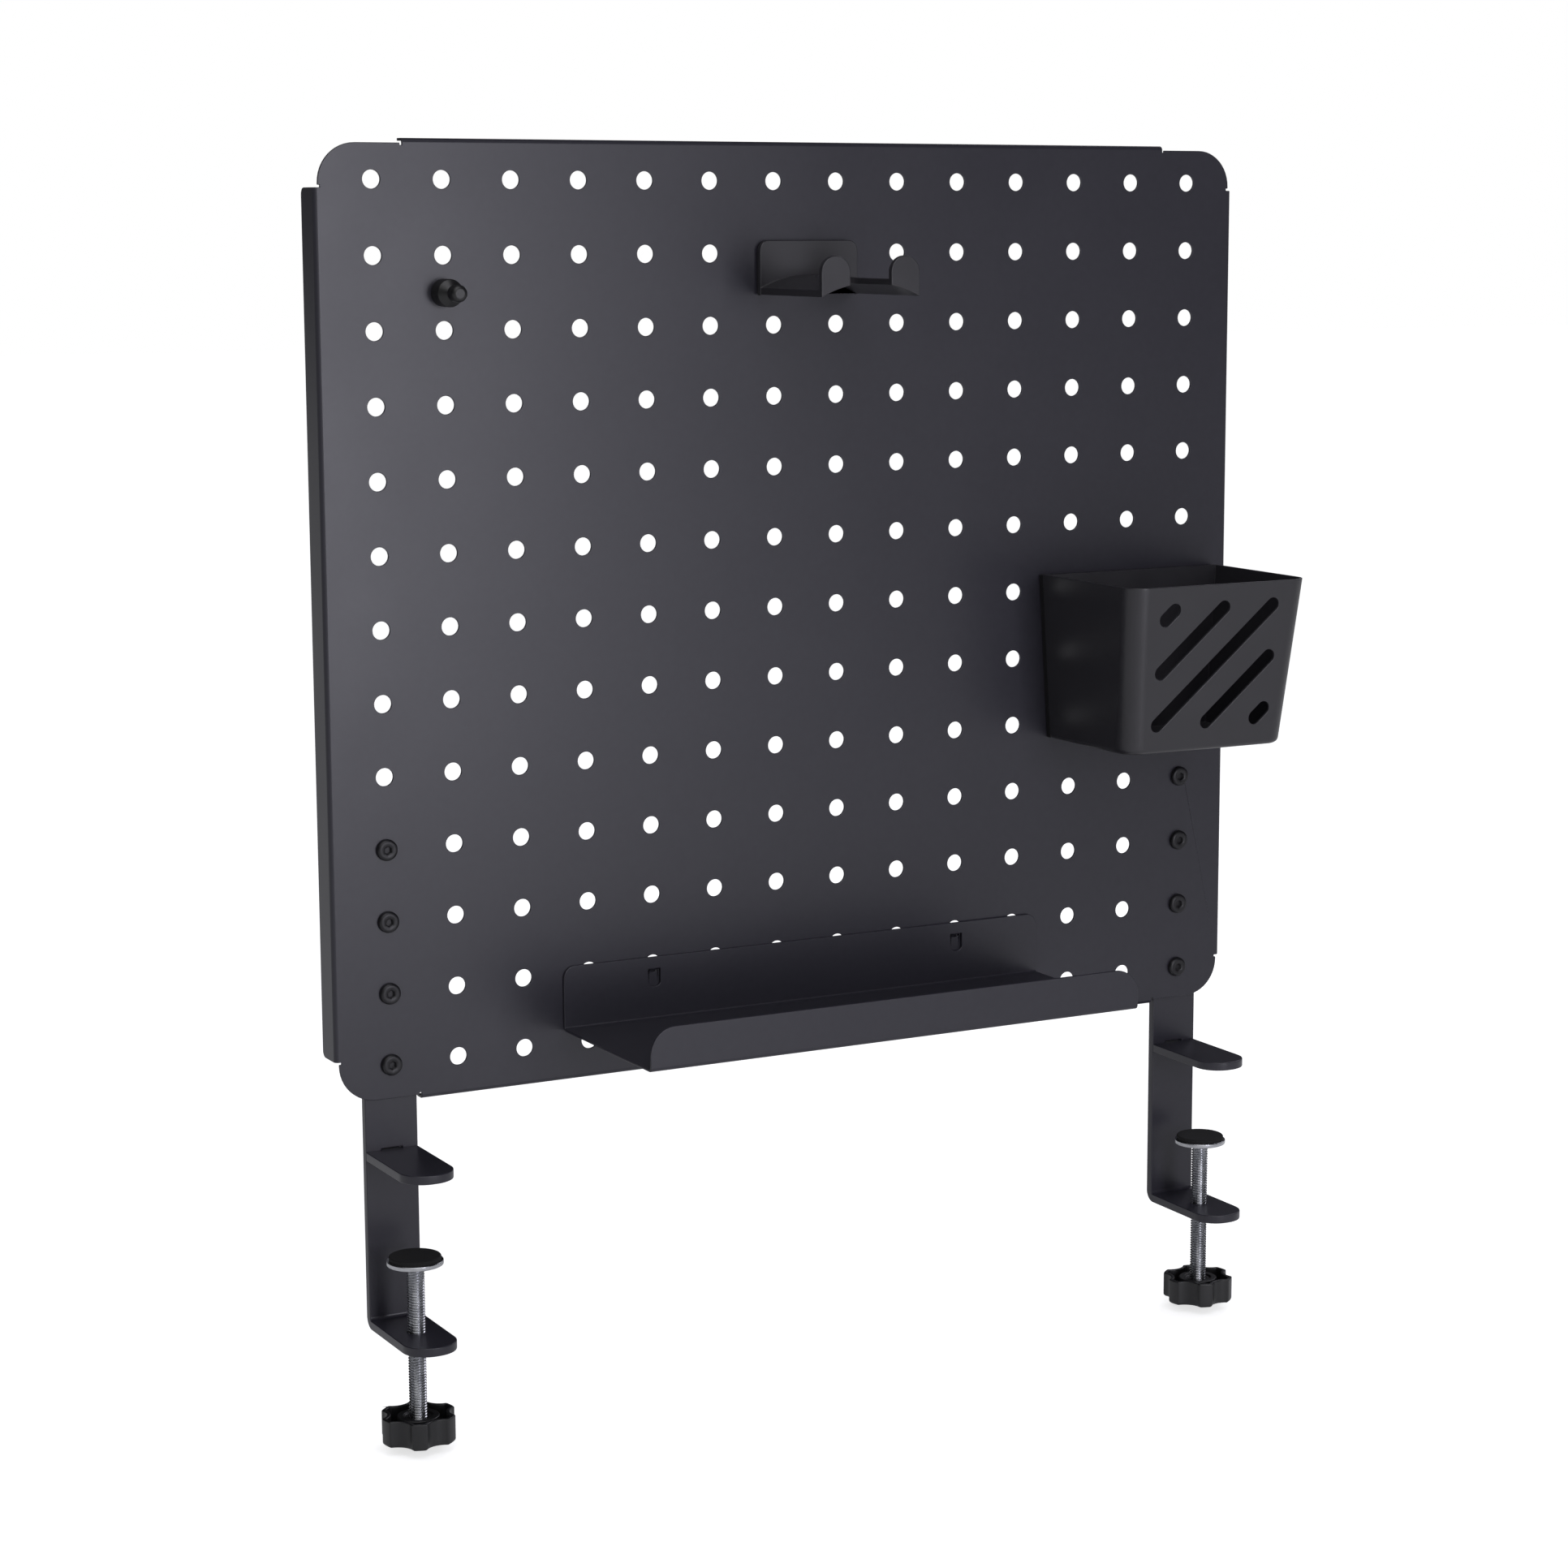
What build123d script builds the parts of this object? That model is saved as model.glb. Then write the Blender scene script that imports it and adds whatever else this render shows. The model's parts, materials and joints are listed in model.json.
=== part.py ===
from build123d import *
from math import cos, radians, sin, sqrt, tan
import os

# A steel pegboard that clamps to the rear edge of a desk, with a shelf tray, a pen cup,
# a headset hook and a magnetic push pin.
# Millimetres. +X is to the user's right, +Y is away from the user and +Z is up.
# The origin is on the desk's top, midway between the clamps, where the desk's edge
# meets the front face of the two uprights.

# Peg grid
pitch = 32.0
columns = 14
rows = 13
peg_hole_diameter = 8.0
bottom_row_height = 42.5

# Panel: one sheet with its four edges bent back
sheet = 1.2
bend_radius = 2.0
side_margin = 26.0
end_margin = 17.3
side_flange_depth = 15.0
end_flange_depth = 6.0
side_flange_setback = 3.5
end_flange_setback = 14.2
flange_corner_radius = 3.0
panel_corner_radius = 17.0
relief_notch = 1.0

# Screws that hold the panel to the uprights
screws_per_side = 4
screw_diameter = 5.0
screw_length = 8.0
screw_hole_diameter = 5.5
screw_head_diameter = 9.5
screw_head_height = 2.4
screw_head_round = 1.3
screw_socket_width = 3.0
screw_socket_depth = 1.6
thread_clearance = 0.05

# Clamp brackets: flat bar, bent once into the lower jaw
bar_width = 24.5
bar_thickness = 4.0
bar_bend_radius = 5.5
bar_above_top_screw = 12.25
bar_top_radius = 5.0
jaw_reach = 50.0
jaw_tip_radius = 11.5
throat = 73.0
upper_jaw_thickness = 4.0
tenon_width = 9.6
tenon_shoulder = 0.2
tenon_side_clearance = 0.2
tenon_top_clearance = 0.6

# Clamp spindle, foot and knob
desk_gap = 38.2
spindle_setback = 24.4
spindle_diameter = 8.0
knob_below_jaw = 33.1
spindle_end_chamfer = 0.6
spindle_neck_diameter = 5.1
spindle_head_diameter = 7.2
spindle_head_height = 0.8
foot_diameter = 25.0
foot_thickness = 2.0
foot_recess_depth = 1.0
pad_diameter = 23.0
pad_thickness = 2.0
pad_round = 0.7
knob_diameter = 34.0
knob_height = 12.2
knob_wall = 1.8
knob_floor = 3.0
knob_lobes = 6
knob_lobe_angle = 10.0
scallop_radius = 7.5
scallop_centre = 21.3
knob_base_chamfer = 1.0
hub_diameter = 18.8
hub_below_rim = 1.0
hub_recess_diameter = 12.7
hub_recess_depth = 0.8
running_clearance = 0.05
end_clearance = 0.1
recess_clearance = 0.2
press_clearance = 0.02

# Peg hooks on the accessories
accessory_gap = 0.3
hook_width = 4.4
hook_drop = 3.5
hook_seat_clearance = 0.05
hook_gap_behind = 0.3
moulded_hook_thickness = 2.2
hook_slot_clearance = 0.3
hook_root_depth = 2.6
hook_bend_share = 0.9
hook_tip_share = 0.3

# Shelf tray: one sheet bent up at the back and the front
shelf_width = 250.0
shelf_depth = 90.5
shelf_row = 11
shelf_hook_columns = (4, 9)
shelf_back_above_row = 3.3
shelf_back_height = 29.7
shelf_back_radius = 5.5
shelf_lip_height = 19.4
shelf_lip_radius = 12.0
lance_width = 6.4
lance_above_neck = 1.1
lance_height = 8.3
lance_corner_radius = 2.5

# Pen cup and the plate that hangs it
cup_column = 12
cup_row = 6
cup_hook_columns = (11, 13)
cup_above_row = 8.0
cup_height = 79.3
cup_top_half_width = 50.3
cup_base_half_width = 45.3
cup_top_depth = 77.2
cup_base_depth = 66.4
cup_front_radius = 10.0
cup_base_radius = 3.0
cup_wall = 1.5
cup_floor = 2.0
hanger_thickness = 3.6
hanger_inset = 0.3
cup_slot_width = 6.8
cup_slot_spacing = 18.6
cup_slot_pitch_angle = 42.3
cup_slot_field_half_width = 30.0
cup_slot_field_top = 11.4
cup_slot_field_bottom = 65.3

# Headset hook
headset_row = 1
headset_hook_columns = (6, 7)
headset_plate_width = 50.0
headset_plate_above_row = 5.7
headset_plate_radius = 4.5
headset_wall = 2.8
headset_pad_thickness = 0.8
headset_pad_inset = 0.3
headset_reach = 60.8
saddle_width = 49.3
saddle_radius = 56.3
saddle_below_row = 9.7
prong_width = 14.35
prong_above_saddle = 9.1
saddle_slot_length = 39.3
full_round_flat = 0.02

# Magnetic push pin
pin_column = 1
pin_row_above = 1
pin_base_diameter = 12.0
pin_base_height = 7.4
pin_neck_diameter = 5.0
pin_neck_height = 10.0
pin_head_start = 11.6
pin_head_diameter = 7.4
pin_length = 18.6
pin_edge_radius = 1.0
magnet_diameter = 8.0
magnet_thickness = 2.0
magnet_clearance = 0.02

# Places worked out from the sizes above
panel_front = -sheet
panel_top_row = bottom_row_height + (rows - 1) * pitch
clamp_column_x = (columns - 1) / 2 * pitch
accessory_back = panel_front - accessory_gap
hook_seat_drop = sqrt((peg_hole_diameter / 2) ** 2 - (hook_width / 2) ** 2) - hook_seat_clearance


def column_x(column):
    """X of a column of holes, counted from 0 at the left."""
    return column * pitch - clamp_column_x


def row_z(row):
    """Z of a row of holes, counted from 0 at the top."""
    return panel_top_row - row * pitch


def rounded_face(corners):
    """A flat face in XY through corners (x, y, radius), each rounded by its own arc."""
    edges = []
    arc_ends = []
    count = len(corners)
    for index, (x, y, radius) in enumerate(corners):
        corner = Vector(x, y)
        to_last = (Vector(*corners[index - 1][:2]) - corner).normalized()
        to_next = (Vector(*corners[(index + 1) % count][:2]) - corner).normalized()
        if radius == 0:
            arc_ends.append((corner, corner))
            continue
        half_angle = radians(to_last.get_angle(to_next)) / 2
        setback = radius / tan(half_angle)
        start = corner + to_last * setback
        end = corner + to_next * setback
        inward = (to_last + to_next).normalized()
        middle = corner + inward * (radius / sin(half_angle) - radius)
        edges.append(Edge.make_three_point_arc(start, middle, end))
        arc_ends.append((start, end))
    for index in range(count):
        start = arc_ends[index][1]
        end = arc_ends[(index + 1) % count][0]
        if (end - start).length > 1e-6:
            edges.append(Edge.make_line(start, end))
    return Face(Wire(edges))


def slab_x(face, x_from, x_to):
    """A face drawn as (Y, Z), made solid from x_from to x_to."""
    return extrude(Plane.YZ.offset(x_from) * face, x_to - x_from, dir=(1, 0, 0))


def slab_y(face, y_front, y_back):
    """A face drawn as (X, Z), made solid from y_front to y_back."""
    return extrude(Plane.XZ.offset(-y_back) * face, y_back - y_front, dir=(0, -1, 0))


def slab_z(face, z_low, z_high):
    """A face drawn as (X, Y), made solid from z_low to z_high."""
    return extrude(Plane.XY.offset(z_low) * face, z_high - z_low, dir=(0, 0, 1))


def rod_y(x, z, diameter, y_front, y_back):
    """A round bar along Y."""
    return slab_y(Pos(x, z) * Circle(diameter / 2), y_front, y_back)


def rod_z(x, diameter, z_low, z_high):
    """A round bar along Z on a clamp's spindle axis."""
    return slab_z(Pos(x, -spindle_setback) * Circle(diameter / 2), z_low, z_high)


def save(node, shape):
    """Write one node, which is a solid or a group of separate solids."""
    export_step(shape, os.path.join("parts", node + ".step"))


# Panel


def screw_places(x):
    """Centres (X, Z) of the screws through one upright."""
    return [(x, row_z(rows - 1 - index)) for index in range(screws_per_side)]


def make_panel():
    """The sheet, its bent edges, its peg holes and its screw holes."""
    half_width = clamp_column_x + side_margin
    top = row_z(0) + end_margin
    bottom = row_z(rows - 1) - end_margin
    middle = (top + bottom) / 2
    bend_x = half_width - bend_radius
    bend_top = top - bend_radius
    bend_bottom = bottom + bend_radius
    inner_radius = bend_radius - sheet

    face = rounded_face([
        (-bend_x, bend_bottom, panel_corner_radius),
        (bend_x, bend_bottom, panel_corner_radius),
        (bend_x, bend_top, panel_corner_radius),
        (-bend_x, bend_top, panel_corner_radius),
    ])
    screws = screw_places(-clamp_column_x) + screw_places(clamp_column_x)
    holes = [Pos(x, z) * Circle(screw_hole_diameter / 2) for x, z in screws]
    for column in range(columns):
        for row in range(rows):
            place = (column_x(column), row_z(row))
            if place not in screws:
                holes.append(Pos(*place) * Circle(peg_hole_diameter / 2))
    panel = slab_y(Sketch() + face - holes, panel_front, 0)

    side_top = row_z(0) - side_flange_setback
    side_bottom = row_z(rows - 1) + side_flange_setback
    side_tip = panel_front + side_flange_depth
    side_section = rounded_face([
        (bend_x, panel_front, 0),
        (half_width, panel_front, bend_radius),
        (half_width, side_tip, 0),
        (half_width - sheet, side_tip, 0),
        (half_width - sheet, 0, inner_radius),
        (bend_x, 0, 0),
    ])
    side_flange = slab_z(side_section, side_bottom, side_top)
    free_corners = side_flange.edges().filter_by(Axis.X).group_by(Axis.Y)[-1]
    side_flange = fillet(free_corners, flange_corner_radius)

    end_half_length = clamp_column_x - end_flange_setback
    end_tip = panel_front + end_flange_depth
    end_section = rounded_face([
        (panel_front, bend_top, 0),
        (panel_front, top, bend_radius),
        (end_tip, top, 0),
        (end_tip, top - sheet, 0),
        (0, top - sheet, inner_radius),
        (0, bend_top, 0),
    ])
    end_flange = slab_x(end_section, -end_half_length, end_half_length)
    mid_height = Plane.XY.offset(middle)
    flanges = [side_flange, mirror(side_flange, Plane.YZ)]
    flanges += [end_flange, mirror(end_flange, mid_height)]

    side_notch = slab_y(
        Pos(bend_x, side_top + relief_notch / 2) * Rectangle(2 * relief_notch, relief_notch),
        panel_front, 0)
    end_notch = slab_y(
        Pos(end_half_length + relief_notch / 2, bend_top) * Rectangle(relief_notch, 2 * relief_notch),
        panel_front, 0)
    notches = []
    for notch in (side_notch, end_notch):
        both = [notch, mirror(notch, Plane.YZ)]
        notches += both + [mirror(one, mid_height) for one in both]
    return panel - notches + flanges


def make_screw(x, z):
    """A button-head screw with a hexagon socket, its head on the panel's front face."""
    head_front = panel_front - screw_head_height
    head = rod_y(x, z, screw_head_diameter, head_front, panel_front)
    rim = head.edges().filter_by(GeomType.CIRCLE).sort_by(Axis.Y)[0]
    head = fillet(rim, screw_head_round)
    shank = rod_y(x, z, screw_diameter, panel_front, panel_front + screw_length)
    socket_face = Pos(x, z) * RegularPolygon(screw_socket_width / 2, 6, major_radius=False)
    socket = slab_y(socket_face, head_front, head_front + screw_socket_depth)
    return head + shank - socket


# Clamps


lower_jaw_top = -throat
lower_jaw_bottom = lower_jaw_top - bar_thickness


def make_bracket(x):
    """The upright bar and lower jaw in one bent piece."""
    top = screw_places(x)[-1][1] + bar_above_top_screw
    section = rounded_face([
        (0, top, 0),
        (0, lower_jaw_top, bar_bend_radius - bar_thickness),
        (-jaw_reach, lower_jaw_top, 0),
        (-jaw_reach, lower_jaw_bottom, 0),
        (bar_thickness, lower_jaw_bottom, bar_bend_radius),
        (bar_thickness, top, 0),
    ])
    bracket = slab_x(section, x - bar_width / 2, x + bar_width / 2)
    tip_corners = bracket.edges().filter_by(Axis.Z).group_by(Axis.Y)[0]
    bracket = fillet(tip_corners, jaw_tip_radius)
    top_corners = bracket.edges().filter_by(Axis.Y).group_by(Axis.Z)[-1]
    bracket = fillet(top_corners, bar_top_radius)

    screw_bore = screw_diameter + 2 * thread_clearance
    spindle_bore = spindle_diameter + 2 * running_clearance
    cuts = [rod_y(*place, screw_bore, 0, bar_thickness) for place in screw_places(x)]
    cuts.append(rod_z(x, spindle_bore, lower_jaw_bottom, lower_jaw_top))
    slot_width = tenon_width + 2 * tenon_side_clearance
    slot_height = upper_jaw_thickness - tenon_shoulder + tenon_top_clearance
    slot_middle = tenon_shoulder + slot_height / 2
    cuts.append(slab_y(Pos(x, slot_middle) * Rectangle(slot_width, slot_height), 0, bar_thickness))
    return bracket - cuts


def make_upper_jaw(x):
    """The plate that lies on the desk, with a tenon through the upright."""
    half_width = bar_width / 2
    plate = slab_z(rounded_face([
        (x - half_width, -jaw_reach, jaw_tip_radius),
        (x + half_width, -jaw_reach, jaw_tip_radius),
        (x + half_width, 0, 0),
        (x - half_width, 0, 0),
    ]), 0, upper_jaw_thickness)
    tenon_face = Pos(x, bar_thickness / 2) * Rectangle(tenon_width, bar_thickness)
    return plate + slab_z(tenon_face, tenon_shoulder, upper_jaw_thickness)


pad_top = -desk_gap
foot_top = pad_top - pad_thickness
foot_bottom = foot_top - foot_thickness
shank_top = foot_bottom - end_clearance
knob_rim = lower_jaw_bottom - knob_below_jaw
knob_base = knob_rim - knob_height
shank_bottom = knob_base + knob_floor + end_clearance


def make_spindle(x):
    """Clamp screw, turned down to a neck that its swaged head keeps in the foot."""
    recess_floor = foot_top - foot_recess_depth
    head_base = recess_floor + end_clearance
    shank = rod_z(x, spindle_diameter, shank_bottom, shank_top)
    shank = chamfer(shank.edges().filter_by(GeomType.CIRCLE), spindle_end_chamfer)
    neck = rod_z(x, spindle_neck_diameter, shank_top, head_base)
    head = rod_z(x, spindle_head_diameter, head_base, head_base + spindle_head_height)
    return shank + neck + head


def make_foot_disc(x):
    """Round steel foot, bored and recessed for the spindle's neck and head."""
    disc = rod_z(x, foot_diameter, foot_bottom, foot_top)
    bore = rod_z(x, spindle_neck_diameter + 2 * running_clearance, foot_bottom, foot_top)
    recess_diameter = spindle_head_diameter + 2 * recess_clearance
    recess = rod_z(x, recess_diameter, foot_top - foot_recess_depth, foot_top)
    return disc - [bore, recess]


def make_foot_pad(x):
    """Soft pad on the foot, rounded where it meets the desk."""
    pad = rod_z(x, pad_diameter, foot_top, pad_top)
    rim = pad.edges().filter_by(GeomType.CIRCLE).sort_by(Axis.Z)[-1]
    return fillet(rim, pad_round)


def knob_outline(x, inset):
    """The knob's lobed outline, drawn inset by a wall."""
    outline = Circle(knob_diameter / 2 - inset)
    scallops = []
    for index in range(knob_lobes):
        angle = radians(knob_lobe_angle + (index + 0.5) * 360 / knob_lobes)
        place = Pos(scallop_centre * cos(angle), scallop_centre * sin(angle))
        scallops.append(place * Circle(scallop_radius + inset))
    return Pos(x, -spindle_setback) * (outline - scallops)


def make_knob(x):
    """Lobed cup with a hub that holds the spindle's lower end."""
    knob = slab_z(knob_outline(x, 0), knob_base, knob_rim)
    base_edges = knob.edges().group_by(Axis.Z)[0]
    knob = chamfer(base_edges, knob_base_chamfer)
    floor_top = knob_base + knob_floor
    hollow = slab_z(knob_outline(x, knob_wall), floor_top, knob_rim)
    hub_top = knob_rim - hub_below_rim
    hub = rod_z(x, hub_diameter, floor_top, hub_top)
    recess = rod_z(x, hub_recess_diameter, hub_top - hub_recess_depth, hub_top)
    bore = rod_z(x, spindle_diameter + 2 * press_clearance, floor_top, hub_top)
    return knob - hollow + (hub - [recess, bore])


# Accessories


def peg_hook(x, row, root_front, thickness):
    """A hook that goes through a peg hole, rests on its lower edge and drops behind."""
    neck_bottom = row_z(row) - hook_seat_drop
    neck_top = neck_bottom + thickness
    leg_front = hook_gap_behind
    leg_back = leg_front + thickness
    section = rounded_face([
        (root_front, neck_bottom, 0),
        (root_front, neck_top, 0),
        (leg_back, neck_top, thickness * hook_bend_share),
        (leg_back, neck_bottom - hook_drop, thickness * hook_tip_share),
        (leg_front, neck_bottom - hook_drop, thickness * hook_tip_share),
        (leg_front, neck_bottom, 0),
    ])
    return slab_x(section, x - hook_width / 2, x + hook_width / 2)


def make_shelf():
    """Tray bent from one sheet, with two hooks lanced out of its back."""
    back = accessory_back
    top = row_z(shelf_row) + shelf_back_above_row
    bottom = top - shelf_back_height
    front = back - shelf_depth
    lip_top = bottom + shelf_lip_height
    inner_radius = bend_radius - sheet
    section = rounded_face([
        (back, top, 0),
        (back, bottom, bend_radius),
        (front, bottom, bend_radius),
        (front, lip_top, 0),
        (front + sheet, lip_top, 0),
        (front + sheet, bottom + sheet, inner_radius),
        (back - sheet, bottom + sheet, inner_radius),
        (back - sheet, top, 0),
    ])
    shelf = slab_x(section, -shelf_width / 2, shelf_width / 2)
    side_edges = shelf.edges().filter_by(Axis.Y).filter_by(lambda edge: edge.length < 2 * sheet)
    shelf = fillet(side_edges.group_by(Axis.Z)[-1], shelf_back_radius)
    side_edges = shelf.edges().filter_by(Axis.Y).filter_by(lambda edge: edge.length < 2 * sheet)
    shelf = fillet(side_edges.group_by(Axis.Y)[0], shelf_lip_radius)

    neck_bottom = row_z(shelf_row) - hook_seat_drop
    window_top = neck_bottom + lance_above_neck
    windows = []
    hooks = []
    for column in shelf_hook_columns:
        x = column_x(column)
        half_width = lance_width / 2
        windows.append(slab_y(rounded_face([
            (x - half_width, window_top, 0),
            (x + half_width, window_top, 0),
            (x + half_width, window_top - lance_height, lance_corner_radius),
            (x - half_width, window_top - lance_height, lance_corner_radius),
        ]), back - sheet, back))
        root = rounded_face([
            (back - sheet, neck_bottom, bend_radius),
            (back - sheet, top - sheet, 0),
            (back, top - sheet, 0),
            (back, neck_bottom + sheet, inner_radius),
            (0, neck_bottom + sheet, 0),
            (0, neck_bottom, 0),
        ])
        hooks.append(slab_x(root, x - hook_width / 2, x + hook_width / 2))
        hooks.append(peg_hook(x, shelf_row, 0, sheet))
    return shelf - windows + hooks


cup_x = column_x(cup_column)
cup_top = row_z(cup_row) + cup_above_row
cup_base = cup_top - cup_height
cup_back = accessory_back - hanger_thickness


def cup_section(z, inset):
    """The cup's outline at one height, drawn inset by a wall."""
    rise = (z - cup_base) / cup_height
    half_width = cup_base_half_width + rise * (cup_top_half_width - cup_base_half_width) - inset
    depth = cup_base_depth + rise * (cup_top_depth - cup_base_depth)
    front = cup_back - depth + inset
    back = cup_back - inset
    front_radius = cup_front_radius - inset
    outline = rounded_face([
        (cup_x - half_width, front, front_radius),
        (cup_x + half_width, front, front_radius),
        (cup_x + half_width, back, 0),
        (cup_x - half_width, back, 0),
    ])
    return Plane.XY.offset(z) * outline


def cup_slots():
    """Five parallel slots across the front, cut off by a square field."""
    angle = radians(cup_slot_pitch_angle)
    half = cup_slot_field_half_width
    field_top = cup_top - cup_slot_field_top
    field_bottom = cup_top - cup_slot_field_bottom
    middle = (field_top + field_bottom) / 2
    field_corner = half * sin(angle) + (field_top - middle) * cos(angle)
    slots_each_side = int(field_corner / cup_slot_spacing)
    slope = tan(angle)
    front = cup_back - cup_top_depth
    back = cup_back - cup_base_depth + cup_front_radius
    slots = []
    for index in range(-slots_each_side, slots_each_side + 1):
        shift = -index * cup_slot_spacing / cos(angle)
        left = max(-half, (field_bottom - middle - shift) / slope)
        right = min(half, (field_top - middle - shift) / slope)
        mid_x = (left + right) / 2
        length = (right - left) / cos(angle)
        outline = SlotCenterToCenter(length, cup_slot_width)
        place = Pos(cup_x + mid_x, middle + shift + mid_x * slope) * Rot(0, 0, cup_slot_pitch_angle)
        slots.append(slab_y(place * outline, front, back))
    return slots


def make_cup():
    """Tapered pen cup with slots through its front."""
    outer = loft([cup_section(cup_base, 0), cup_section(cup_top, 0)], ruled=True)
    base_edges = outer.edges().group_by(Axis.Z)[0]
    rounded_edges = base_edges.sort_by(Axis.Y)[:-1]
    outer = fillet(rounded_edges, cup_base_radius)
    inner = loft([cup_section(cup_base + cup_floor, cup_wall), cup_section(cup_top, cup_wall)], ruled=True)
    return outer - inner - cup_slots()


def make_cup_hanger():
    """Plate behind the cup, with its two peg hooks."""
    top = cup_top - hanger_inset
    base = cup_base + hanger_inset
    top_half_width = cup_top_half_width - hanger_inset
    base_half_width = cup_base_half_width - hanger_inset
    outline = rounded_face([
        (cup_x - base_half_width, base, 0),
        (cup_x + base_half_width, base, 0),
        (cup_x + top_half_width, top, 0),
        (cup_x - top_half_width, top, 0),
    ])
    plate = slab_y(outline, cup_back, accessory_back)
    hooks = []
    for column in cup_hook_columns:
        root = accessory_back - hook_root_depth
        hooks.append(peg_hook(column_x(column), cup_row, root, moulded_hook_thickness))
    return plate + hooks


headset_pad_front = accessory_back - headset_pad_thickness
headset_plate_front = headset_pad_front - headset_wall
headset_front = accessory_back - headset_reach
headset_plate_top = row_z(headset_row) + headset_plate_above_row
saddle_top = row_z(headset_row) - saddle_below_row
saddle_centre = saddle_top - saddle_radius


def headset_plate(inset, y_front, y_back):
    """The flat back of the headset hook, with its lower edge on the saddle's underside."""
    half_width = headset_plate_width / 2 - inset
    top = headset_plate_top - inset
    radius = headset_plate_radius - inset
    plate = rounded_face([
        (-half_width, saddle_centre, 0),
        (half_width, saddle_centre, 0),
        (half_width, top, radius),
        (-half_width, top, radius),
    ])
    underside = Pos(0, saddle_centre) * Circle(saddle_radius - headset_wall + inset)
    return slab_y(Sketch() + plate - underside, y_front, y_back)


def make_headset_hook():
    """Plate, arched saddle with a slot, and two round-topped prongs, in one moulding."""
    plate = headset_plate(0, headset_plate_front, headset_pad_front)
    half_width = saddle_width / 2
    arch_face = Pos(0, saddle_centre) * (Circle(saddle_radius) - Circle(saddle_radius - headset_wall))
    upper = Pos(0, saddle_centre + saddle_radius) * Rectangle(saddle_width, 2 * saddle_radius)
    saddle = slab_y(arch_face & upper, headset_front, headset_plate_front)

    prong_inner = half_width - prong_width
    prong_top = saddle_top + prong_above_saddle
    prong_back = headset_front + headset_wall
    prongs = []
    for side in (-1, 1):
        outline = rounded_face([
            (side * prong_inner, saddle_centre, 0),
            (side * half_width, saddle_centre, 0),
            (side * half_width, prong_top, (prong_width - full_round_flat) / 2),
            (side * prong_inner, prong_top, (prong_width - full_round_flat) / 2),
        ])
        below = Pos(0, saddle_centre) * Circle(saddle_radius - headset_wall)
        prongs.append(slab_y(Sketch() + outline - below, headset_front, prong_back))

    slot_end = headset_front + saddle_slot_length
    slot = slab_z(rounded_face([
        (-prong_inner, headset_front, 0),
        (prong_inner, headset_front, 0),
        (prong_inner, slot_end, prong_inner - full_round_flat / 2),
        (-prong_inner, slot_end, prong_inner - full_round_flat / 2),
    ]), saddle_centre, saddle_top)
    hooks = []
    for column in headset_hook_columns:
        root = headset_pad_front - headset_wall / 2
        hooks.append(peg_hook(column_x(column), headset_row, root, moulded_hook_thickness))
    return plate + (saddle - slot) + prongs + hooks


def make_hook_pad():
    """Soft backing of the headset hook, cut out round its two pegs."""
    pad = headset_plate(headset_pad_inset, headset_pad_front, accessory_back)
    neck_middle = row_z(headset_row) - hook_seat_drop + moulded_hook_thickness / 2
    window = Rectangle(hook_width + 2 * hook_slot_clearance, moulded_hook_thickness + 2 * hook_slot_clearance)
    windows = []
    for column in headset_hook_columns:
        place = Pos(column_x(column), neck_middle)
        windows.append(slab_y(place * window, headset_pad_front, accessory_back))
    return pad - windows


pin_x = column_x(pin_column)
pin_z = row_z(pin_row_above) - pitch / 2


def make_pin_grip():
    """Turned push-pin shape with a socket for its magnet."""
    profile = rounded_face([
        (0, 0, 0),
        (pin_base_diameter / 2, 0, 0),
        (pin_base_diameter / 2, pin_base_height, pin_edge_radius),
        (pin_neck_diameter / 2, pin_neck_height, 0),
        (pin_neck_diameter / 2, pin_head_start, pin_edge_radius / 2),
        (pin_head_diameter / 2, pin_head_start + pin_edge_radius, 0),
        (pin_head_diameter / 2, pin_length, 2 * pin_edge_radius),
        (0, pin_length, 0),
    ])
    upright = revolve(Plane.XZ * profile, Axis.Z)
    grip = Location((pin_x, panel_front, pin_z), (90, 0, 0)) * upright
    socket_diameter = magnet_diameter + 2 * magnet_clearance
    return grip - rod_y(pin_x, pin_z, socket_diameter, panel_front - magnet_thickness, panel_front)


def make_pin_magnet():
    """Disc magnet in the base of the pin."""
    return rod_y(pin_x, pin_z, magnet_diameter, panel_front - magnet_thickness, panel_front)


os.makedirs("parts", exist_ok=True)
save("pegboard_panel", make_panel())
for side, x in (("left", -clamp_column_x), ("right", clamp_column_x)):
    save("clamp_bracket_" + side, make_bracket(x))
    save("upper_jaw_" + side, make_upper_jaw(x))
    save("bracket_screws_" + side, Compound([make_screw(*place) for place in screw_places(x)]))
    save("clamp_spindle_" + side, make_spindle(x))
    save("clamp_knob_" + side, make_knob(x))
    save("foot_disc_" + side, make_foot_disc(x))
    save("foot_pad_" + side, make_foot_pad(x))
save("shelf_tray", make_shelf())
save("pen_cup", make_cup())
save("cup_hanger", make_cup_hanger())
save("headset_hook", make_headset_hook())
save("hook_pad", make_hook_pad())
save("pin_grip", make_pin_grip())
save("pin_magnet", make_pin_magnet())
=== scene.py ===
import json
from math import cos, pi, radians, sin, sqrt

import bmesh
import bpy
from mathutils import Matrix, Vector


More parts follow.
